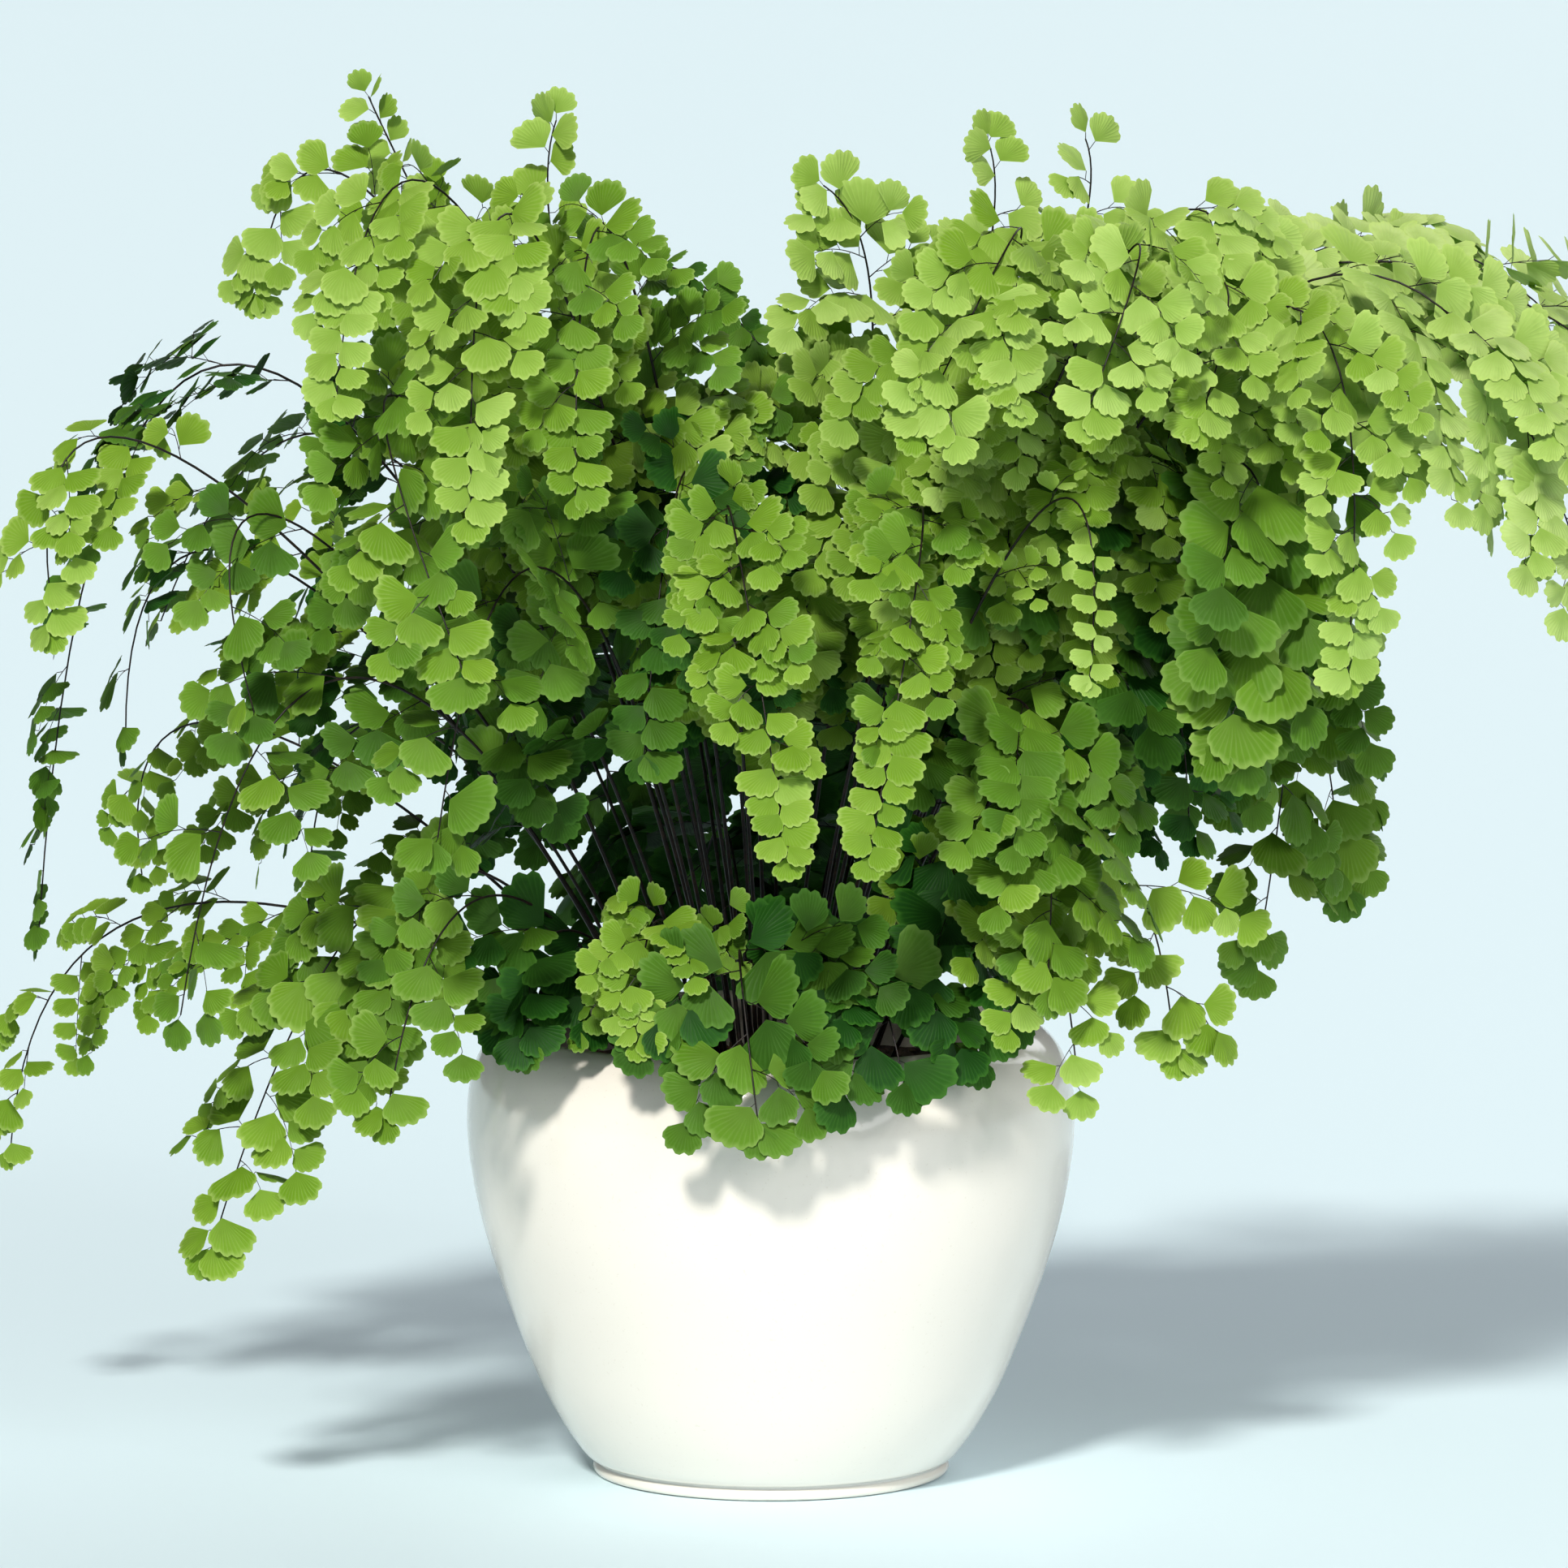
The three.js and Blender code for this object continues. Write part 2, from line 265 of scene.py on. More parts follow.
pot = {
    "turns": 128,
    "foot": [
        (0.0, 0.0), (0.0565, 0.0), (0.0582, 0.0006), (0.0588, 0.0016), (0.0586, 0.0029), (0.0577, 0.0039),
    ],
    "outside": [
        (0.0580, 0.0046), (0.0594, 0.0052), (0.0618, 0.0072), (0.0662, 0.0132), (0.0705, 0.0200),
        (0.0760, 0.0305), (0.0812, 0.0430), (0.0860, 0.0555), (0.0912, 0.0705), (0.0954, 0.0850),
        (0.0984, 0.1000), (0.0998, 0.1120), (0.0999, 0.1220), (0.0990, 0.1300), (0.0969, 0.1372),
        (0.0936, 0.1429), (0.0902, 0.1462),
    ],
    "lip": [(0.0880, 0.1478), (0.0860, 0.1484), (0.0842, 0.1481), (0.0829, 0.1469), (0.0823, 0.1450)],
    "inside": [
        (0.0836, 0.1425), (0.0880, 0.1385), (0.0915, 0.1340), (0.0935, 0.1270), (0.0940, 0.1180),
        (0.0915, 0.0950), (0.0845, 0.0700), (0.0668, 0.0220), (0.0528, 0.0080), (0.0, 0.0080),
    ],
    "cream": (0.86, 0.80, 0.725),
    "thin": (0.83, 0.79, 0.70),
    "drifted": (0.88, 0.85, 0.78),
    # painted shade: the grey of the groove above the foot ring
    "groove": (0.50, 0.50, 0.49),
    "speck": (0.46, 0.38, 0.27),
    # heights from which and up to which a shading grows
    "footShade": (0.0062, 0.0030),
    "lipShade": (0.1465, 0.1486),
    "grooveFrom": (0.0033, 0.0041),
    "grooveTo": (0.0058, 0.0047),
    "weld": 1e-5,
}


def refined(profile):
    # a point between every two, on the curve that runs through them all
    points = [Vector(place) for place in profile]
    points = [points[0], *points, points[-1]]
    fine = []
    near, far = 0.5625, 0.0625  # weights of a cubic through four even points, at its middle
    for before, first, second, after in zip(points, points[1:], points[2:], points[3:]):
        middle = (first + second) * near - (before + after) * far
        fine += [first[:], middle[:]]
    return fine + [profile[-1]]


def makePot():
    profile = pot["foot"] + refined(refined(pot["outside"])) + pot["lip"] + pot["inside"]
    bpy.ops.mesh.primitive_circle_add(vertices=len(profile), radius=0.05, fill_type="NOTHING")
    piece = latest("pot_glazed")
    for corner, (radius, height) in zip(piece.data.vertices, profile):
        corner.co = (radius, 0, height)
    closing = {0, len(profile) - 1}  # the circle's own edge along the axis
    choose(piece)
    selectOnly(piece, "EDGE", lambda edge: set(edge.vertices) == closing)
    bpy.ops.mesh.delete(type="EDGE")
    bpy.ops.object.mode_set(mode="OBJECT")
    turn = {"steps": pot["turns"], "angle": 2 * math.pi, "center": (0, 0, 0), "axis": (0, 0, 1)}
    inEditMode(
        (bpy.ops.mesh.spin, turn),
        (bpy.ops.mesh.select_all, {"action": "SELECT"}),
        (bpy.ops.mesh.remove_doubles, {"threshold": pot["weld"]}),
        (bpy.ops.mesh.normals_make_consistent, {"inside": False}),
    )
    smooth(piece, 50)
    return finished(piece, "glaze", glazeMaterial(), "pot")


def glazeMaterial():
    material, tools = newMaterial("cream glaze")
    place = objectPlace(tools)
    height = tools.add("ShaderNodeSeparateXYZ", {}, {0: place}, 2)
    drift = tools.noise(place, 9.0, 2.0)
    speck = tools.noise(place, 900.0, 1.0).step(0.70, 0.78)
    thinned = height.step(*pot["footShade"]) + height.step(*pot["lipShade"]) * 0.5
    cream = (drift * 0.35).fade((*pot["cream"], 1), (*pot["drifted"], 1))
    # painted shade: a grey line in the recess above the foot ring, where shade falls
    groove = height.step(*pot["grooveFrom"]) * height.step(*pot["grooveTo"])
    colour = (thinned * 0.6).fade(cream, (*pot["thin"], 1))
    colour = (groove * 0.7).fade(colour, (*pot["groove"], 1))
    colour = (speck * 0.25).fade(colour, (*pot["speck"], 1))
    ripple = tools.noise(place, 38.0, 2.0) * 0.7 + tools.noise(place, 160.0, 1.0) * 0.12
    surface(tools, {
        "Base Color": colour,
        "Roughness": 0.07 + drift * 0.08 + speck * 0.2,
        "IOR": 1.52,
        "Normal": tools.bump(ripple, 0.25, 0.0012),
    })
    return material


mix = {
    "seed": 11,
    "top": 0.130,
    "radius": 0.0905,
    "depth": 0.02,
    "rings": (0.004, 0.006, 0.008, 0.010, 0.012, 0.014),
    "topBand": 0.001,
    "relief": [("lumps", 0.03, 0.006), ("grain", 0.009, 0.004)],  # each with its scale and strength
}

crumbs = {
    "count": 420,
    "from": 0.03,  # the pot's axis
    "clear": 0.006,  # of the pot's wall
    "size": (0.0007, 0.0022),
    "long": (0.7, 1.5),
    "wide": (0.7, 1.3),
    "flat": 0.7,
    "sits": 0.4,
    "turn": (0, 6.28),
}

bark = {
    "count": 70,
    "from": 0.035,
    "clear": 0.008,
    "sides": [(0.004, 0.010), (0.002, 0.004), (0.0008, 0.0016)],
    "pitch": (-0.4, 0.4),
    "roll": (-0.3, 0.3),
    "sits": 0.0015,
    "turn": (0, 6.28),
}

crown = {
    "seed": 5,
    "radius": 0.052,
    "rise": 0.006,
    "under": 0.010,
    "rootDepth": 0.051,
    "edge": 0.045,
    "inset": 0.001,
    "sunk": 0.0012,
    "knobScale": 0.008,
    "knobs": 0.0045,
}

stubs = {"radius1": 0.0026, "radius2": 0.0011, "depth": 0.009, "upright": 0.09, "sunk": 0.001}

scales = {
    "each": 3,
    "radius1": 0.0012,
    "radius2": 0.0001,
    "depth": 0.006,
    "rise": (0.6, 1.6),
    "aside": 0.002,
    "out": 0.0015,
}


def crownHeight(radius):
    share = min(radius / crown["radius"], 1)
    return mix["top"] + crown["rise"] * math.sqrt(1 - share * share)


def scattered(chance, inner, outer):
    radius = math.sqrt(chance.uniform(inner**2, outer**2))
    angle = chance.uniform(0, 2 * math.pi)
    return radius * math.cos(angle), radius * math.sin(angle)


def makeMix():
    chance = random.Random(mix["seed"])
    bpy.ops.mesh.primitive_cylinder_add(vertices=72, radius=mix["radius"], depth=mix["depth"])
    bed = latest("potting_mix_bed")
    bed.data.transform(Matrix.Translation((0, 0, mix["top"] - mix["depth"] / 2)))
    top = max(bed.data.polygons, key=lambda face: face.center.z).index
    selectOnly(bed, "FACE", lambda face: face.index == top)
    for width in mix["rings"]:
        bpy.ops.mesh.inset(thickness=width)
    bpy.ops.mesh.poke()
    bpy.ops.mesh.subdivide(number_cuts=2)
    bpy.ops.object.mode_set(mode="OBJECT")
    group = bed.vertex_groups.new(name="top")
    raised = [v.index for v in bed.data.vertices if v.co.z > mix["top"] - mix["topBand"]]
    group.add(raised, 1, "REPLACE")
    for name, scale, strength in mix["relief"]:
        applyModifier(bed, "DISPLACE", texture=clouds(name, scale), strength=strength, mid_level=0.5,
                      texture_coords="GLOBAL", direction="Z", vertex_group="top")
    pieces = [bed]
    for k in range(crumbs["count"]):
        x, y = scattered(chance, crumbs["from"], mix["radius"] - crumbs["clear"])
        size = chance.uniform(*crumbs["size"])
        bpy.ops.mesh.primitive_ico_sphere_add(subdivisions=1, radius=size)
        crumb = bpy.context.object
        long, wide = chance.uniform(*crumbs["long"]), chance.uniform(*crumbs["wide"])
        squeeze = Matrix.Diagonal((long, wide, crumbs["flat"], 1))
        turn = Matrix.Rotation(chance.uniform(*crumbs["turn"]), 4, "Z")
        place = Matrix.Translation((x, y, mix["top"] + size * crumbs["sits"]))
        crumb.data.transform(place @ turn @ squeeze)
        pieces.append(crumb)
    for k in range(bark["count"]):
        x, y = scattered(chance, bark["from"], mix["radius"] - bark["clear"])
        bpy.ops.mesh.primitive_cube_add(size=1)
        chip = bpy.context.object
        sides = Matrix.Diagonal([chance.uniform(*side) for side in bark["sides"]] + [1])
        pitch = Matrix.Rotation(chance.uniform(*bark["pitch"]), 4, "X")
        tilt = pitch @ Matrix.Rotation(chance.uniform(*bark["roll"]), 4, "Y")
        turn = Matrix.Rotation(chance.uniform(*bark["turn"]), 4, "Z")
        place = Matrix.Translation((x, y, mix["top"] + bark["sits"]))
        chip.data.transform(place @ turn @ tilt @ sides)
        pieces.append(chip)
    choose(*pieces)
    bpy.ops.object.join()
    bed.name = "potting_mix_bed"
    smooth(bed, 50)
    return finished(bed, "potting_mix", mixMaterial(), "potting_mix")


def mixMaterial():
    material, tools = newMaterial("moist potting mix")
    place = objectPlace(tools)
    clump = tools.noise(place, 130.0, 4.0)
    fibre = tools.noise(place, 900.0, 4.0)
    colour = clump.step(0.35, 0.7).fade((0.012, 0.008, 0.005, 1), (0.060, 0.034, 0.018, 1))
    colour = (fibre.step(0.62, 0.72) * 0.5).fade(colour, (0.16, 0.10, 0.05, 1))
    surface(tools, {
        "Base Color": colour,
        "Roughness": 0.95 - clump * 0.25,
        "Normal": tools.bump(fibre + clump, 0.8, 0.002),
    })
    return material


def makeCone(corners, values):
    bpy.ops.mesh.primitive_cone_add(
        vertices=corners, radius1=values["radius1"], radius2=values["radius2"], depth=values["depth"])
    return bpy.context.object


def makeCrown(feet):
    chance = random.Random(crown["seed"])
    bpy.ops.mesh.primitive_uv_sphere_add(segments=48, ring_count=20, radius=1)
    mound = latest("rhizome_mound")
    radius = crown["radius"] - crown["inset"]
    for corner in mound.data.vertices:
        x, y, z = corner.co
        rise = crown["rise"] if z > 0 else crown["under"]
        corner.co = (x * radius, y * radius, mix["top"] + z * rise - crown["sunk"])
    applyModifier(mound, "DISPLACE", texture=clouds("knobs", crown["knobScale"]),
                  strength=crown["knobs"], mid_level=0.6, texture_coords="GLOBAL")
    pieces = [mound]
    for foot in feet:
        stub = makeCone(8, stubs)
        lean = Vector((foot.x, foot.y, stubs["upright"])).normalized()
        stub.data.transform(Matrix.Translation(foot - lean * stubs["sunk"]) @ uprightAlong(lean))
        pieces.append(stub)
        for k in range(scales["each"]):
            scale = makeCone(4, scales)
            way = (chance.uniform(-1, 1), chance.uniform(-1, 1), chance.uniform(*scales["rise"]))
            lean = Vector(way).normalized()
            aside = Vector((chance.uniform(-1, 1), chance.uniform(-1, 1), 0)) * scales["aside"]
            place = Matrix.Translation(foot + aside + lean * scales["out"])
            scale.data.transform(place @ uprightAlong(lean))
            pieces.append(scale)
    choose(*pieces)
    bpy.ops.object.join()
    mound.name = "rhizome_mound"
    smooth(mound, 60)
    return finished(mound, "rhizome", crownMaterial(), "rhizome")


def crownMaterial():
    material, tools = newMaterial("scaly rhizome")
    place = objectPlace(tools)
    flakes = tools.noise(place, 420.0, 4.0)
    colour = flakes.step(0.4, 0.68).fade((0.018, 0.009, 0.005, 1), (0.13, 0.062, 0.026, 1))
    surface(tools, {
        "Base Color": colour,
        "Roughness": 0.9 - flakes * 0.3,
        "Normal": tools.bump(flakes, 0.7, 0.001),
    })
    return material


leaflet = {
    "reach": 0.0128,  # from its stalk to its lobed edge
    "lobeSteps": 3,
    "innerRing": 0.62,  # share of its reach
    "narrowing": 0.30,  # of its reach, at its two sides
    "ripple": 0.02,
    "weld": 1e-5,
    "rimWeld": 2e-5,
    "bakeMargin": 0.04,
    "bakeSize": (0.42, 0.92),  # of one side's room in the baked picture
}

# The side of a leaflet that faces away from the frond's tip is longer by its skew.
leafletKinds = [
    {"lobes": 6, "spread": 57, "skew": 0.24, "notch": 0.075, "cup": 0.16, "flop": 0.12},
    {"lobes": 5, "spread": 53, "skew": 0.20, "notch": 0.09, "cup": 0.20, "flop": 0.16},
    {"lobes": 7, "spread": 62, "skew": 0.22, "notch": 0.065, "cup": 0.12, "flop": 0.20},
    {"lobes": 6, "spread": 55, "skew": 0.30, "notch": 0.09, "cup": 0.22, "flop": 0.10},
]

tipKind = {"lobes": 5, "spread": 60, "skew": 0.0, "notch": 0.095, "cup": 0.16, "flop": 0.14}


def fanPlace(kind, hand, across, along):
    # a rounded fan whose outer edge has lobes
    angle = across * math.radians(kind["spread"])
    lobe = abs(math.sin(math.pi * kind["lobes"] * (across + 1) / 2)) ** 0.5
    reach = leaflet["reach"] * (1 - leaflet["narrowing"] * abs(across) ** 3.6)
    reach *= 1 + kind["skew"] * hand * across
    reach *= 1 - kind["notch"] * (1 - lobe) * along**2
    x, y = math.sin(angle) * reach * along, math.cos(angle) * reach * along
    sag = (kind["cup"] * x * x + kind["flop"] * y * y) / leaflet["reach"]
    return x, y, leaflet["ripple"] * math.sin(7 * across + hand) * along * reach - sag


def modelBlade(kind, hand, rings):
    steps = leaflet["lobeSteps"] * kind["lobes"]
    bpy.ops.mesh.primitive_grid_add(x_subdivisions=steps, y_subdivisions=rings, size=2)
    piece = latest("leaflet_kind")
    for corner in piece.data.vertices:
        across, along = corner.co.x, (corner.co.y + 1) / 2
        if 0.1 < along < 0.9:  # the inner ring, whose ends go to the stalk
            along = leaflet["innerRing"] if abs(across) < 0.99 else 0.0
        corner.co = fanPlace(kind, hand, across, along)
    inEditMode((bpy.ops.mesh.remove_doubles, {"threshold": leaflet["weld"]}))
    return piece


def modelLeaflet(kind, hand):
    underside = modelBlade(kind, hand, 1)
    inEditMode((bpy.ops.mesh.flip_normals, {}))
    piece = modelBlade(kind, hand, 2)
    blades = (piece, underside)
    margin, (width, height) = leaflet["bakeMargin"], leaflet["bakeSize"]
    for blade, shift in zip(blades, (0.0, 0.5)):
        veins = blade.data.uv_layers[0]
        veins.name = "blade"
        places = [0.0] * (2 * len(veins.uv))
        veins.uv.foreach_get("vector", places)
        laid = blade.data.uv_layers.new(name="OFBake")
        for k in range(0, len(places), 2):
            places[k] = shift + margin + width * places[k]
            places[k + 1] = margin + height * places[k + 1]
        laid.uv.foreach_set("vector", places)
    choose(*blades)
    bpy.ops.object.join()
    inEditMode((bpy.ops.mesh.remove_doubles, {"threshold": leaflet["rimWeld"]}))
    smooth(piece, 60)
    return piece


# Each pair runs from the darkest to the lightest, by a leaflet's tone or, for the dark green (blotches
# and painted shade) and the pale green, by its youth value, which also carries painted light and shade.
greens = {
    # the dark green of blotches, and painted shade at a leaflet's stalk
    "blotchesAndShade": [(0.004, 0.024, 0.002, 1), (0.200, 0.360, 0.030, 1)],
    "pale": [(0.040, 0.150, 0.014, 1), (0.600, 0.780, 0.220, 1)],
    "oldAndShaded": [(0.005, 0.042, 0.003, 1), (0.014, 0.080, 0.006, 1)],
    "middle": [(0.074, 0.184, 0.009, 1), (0.106, 0.240, 0.017, 1)],
    "grown": [(0.170, 0.330, 0.013, 1), (0.230, 0.400, 0.026, 1)],
    "young": [(0.385, 0.580, 0.110, 1), (0.500, 0.700, 0.190, 1)],
    "newestAndLit": (0.780, 0.900, 0.420, 1),
    "shinesThrough": (0.36, 0.58, 0.05, 1),
}


def leafletMaterial():
    material, tools = newMaterial("fern leaflet")
    blade = tools.add("ShaderNodeUVMap", {"uv_map": "blade"}, {})
    across = tools.add("ShaderNodeSeparateXYZ", {}, {0: blade}, 0)
    along = tools.add("ShaderNodeSeparateXYZ", {}, {0: blade}, 1)
    tone = tools.add("ShaderNodeAttribute", {"attribute_name": "tone"}, {}, 2)
    # youth: a frond's age and painted light together; its low values give the near-black greens painted
    # as shade inside the plant
    youth = tools.add("ShaderNodeAttribute", {"attribute_name": "youth"}, {}, 2)
    place = objectPlace(tools)
    cloud = tools.noise(place, 210.0, 3.0)
    veins = tools.maths("SINE", across * 95.0 + cloud * 2.0) * 0.5 + 0.5
    veins = veins ** 3.0 * along.step(0.1, 0.5)
    blotchesAndShade, pale = (youth.step(0.0, 1.0).fade(*greens[name]) for name in ("blotchesAndShade", "pale"))
    oldAndShaded, grown, young, middle = (tone.fade(*greens[name]) for name in ("oldAndShaded", "grown", "young", "middle"))
    colour = youth.step(0.0, 0.4).fade(oldAndShaded, middle)
    colour = youth.step(0.3, 0.75).fade(colour, grown)
    colour = youth.step(0.6, 1.0).fade(colour, young)
    # past 1 the palest green: newest growth and painted light on the lit crest
    colour = (youth.step(1.0, 1.5) * 0.6).fade(colour, greens["newestAndLit"])
    colour = (cloud.step(0.45, 0.75) * 0.22).fade(colour, blotchesAndShade)
    # painted shade: darker towards the stalk, where the leaflets overlap and shade each other
    colour = (along.step(0.80, 0.05) * 0.50).fade(colour, blotchesAndShade)  # towards the stalk
    colour = (veins * 0.20).fade(colour, pale)
    colour = (along.step(0.78, 1.0) * 0.58).fade(colour, pale)  # the lobed edge
    shader = tools.add("ShaderNodeBsdfPrincipled", {}, {
        "Base Color": colour,
        "Roughness": 0.46 + cloud * 0.18,
        "Specular IOR Level": 0.12,
        "Normal": tools.bump(veins + cloud * 0.6, 0.35, 0.0003),
    })
    glow = tools.add("ShaderNodeBsdfTranslucent", {}, {"Color": greens["shinesThrough"]})
    through = youth.step(0.1, 1.0) * 0.32 + 0.02
    both = tools.add("ShaderNodeMixShader", {}, {0: through, 1: shader, 2: glow})
    tools.add("ShaderNodeOutputMaterial", {}, {"Surface": both})
    return material


def stipeMaterial():
    material, tools = newMaterial("polished black stipe")
    place = objectPlace(tools)
    grain = tools.noise(place, 600.0, 3.0)
    colour = grain.step(0.4, 0.75).fade((0.003, 0.002, 0.002, 1), (0.020, 0.009, 0.005, 1))
    surface(tools, {
        "Base Color": colour,
        "Roughness": 0.30 + grain * 0.25,
        "Specular IOR Level": 0.3,
        "Normal": tools.bump(grain, 0.2, 0.0002),
    })
    return material


class Path:
    def __init__(self, points):
        self.points = points
        self.marks = [0.0]
        for first, second in zip(points, points[1:]):
            self.marks.append(self.marks[-1] + (second - first).length)
        self.length = self.marks[-1]

    def at(self, distance):
        k = 1
        while k < len(self.marks) - 1 and self.marks[k] < distance:
            k += 1
        first, second = self.points[k - 1], self.points[k]
        share = (distance - self.marks[k - 1]) / (self.marks[k] - self.marks[k - 1])
        return first.lerp(second, share), (second - first).normalized()


def bezier(corners, steps):
    points = []
    for k in range(steps + 1):
        share, row = k / steps, list(corners)
        while len(row) > 1:
            row = [a.lerp(b, share) for a, b in zip(row, row[1:])]
        points.append(row[0])
    return Path(points)


growth = {
    "stipeRadius": 0.00085,
    "rachisRadius": 0.00026,  # at a frond's tip
    "pinnaRadius": 0.00022,
    "stalkRadius": 0.00013,
    "stalk": 0.0020,
    "lift": 0.0018,  # how far a leaflet stands off its axis, towards the light
    "bare": 0.38,  # share of the axis with no pinnae
    "pinnaStep": 0.0172,
    "pinnaLength": 0.088,
    "leafletStep": 0.0053,
    "younger": 0.26,  # from the foot of a frond's leafy part to its tip
    "shortest": 0.014,  # a shorter pinna is one leaflet
}

axisCurve = {
    "seat": 0.0004,  # of its foot, over the crown
    "leanOut": 0.3,  # share of the way to its shoulder that it has leaned
    "leanUp": 0.6,  # by this share of its rise
    "weights": (0.064, 0.288, 0.432, 0.216),  # of its four corners, where it passes its shoulder
    "steps": 40,
}

# how a leaflet faces: outwards, upwards and, in front, towards the light
outlook = {"out": 0.6, "up": 0.5, "light": (0, -0.93, 0.37), "least": 0.1, "from": 0.06, "over": 0.12}

stance = {
    "drop": 0.2,
    "towardsFace": 0.16,
    "stalk": (0.7, 1.3),
    "lift": (0.4, 1.4),
    "tilt": (0.2, 0.2, 0.2),
    "size": (0.88, 1.12),
    "width": (0.9, 1.1),
    "youth": 0.07,
    "aside": 0.70,  # from its axis, and ahead along it
    "ahead": 0.72,
    "gap": (0.9, 1.1),
    "smaller": 0.42,  # from an axis's foot to its tip
    "endSize": 0.72,
}

pinna = {
    "steps": 8,
    "turn": (0.3, 0.3, 0.2),
    "footSize": 1.04,
    "tipSize": 1.24,  # of leaflets that stand on the rachis itself
    "endGap": 0.003,
    "start": 0.003,
    "swing": 0.16,
    "aside": 0.8,
    "ahead": 0.6,
    "rise": 0.1,
    "towardsFace": (0.20, 0.14),
    "length": (0.65, 1.15),
    "droop": (0.2, 0.6),
    "gap": (0.8, 1.2),
    "closer": 0.45,  # from the foot of the leafy part to its tip
}

branching = {"until": 0.4, "longest": 0.05, "at": (0.3, 0.5), "aside": 0.75, "ahead": 0.6, "start": 0.005}
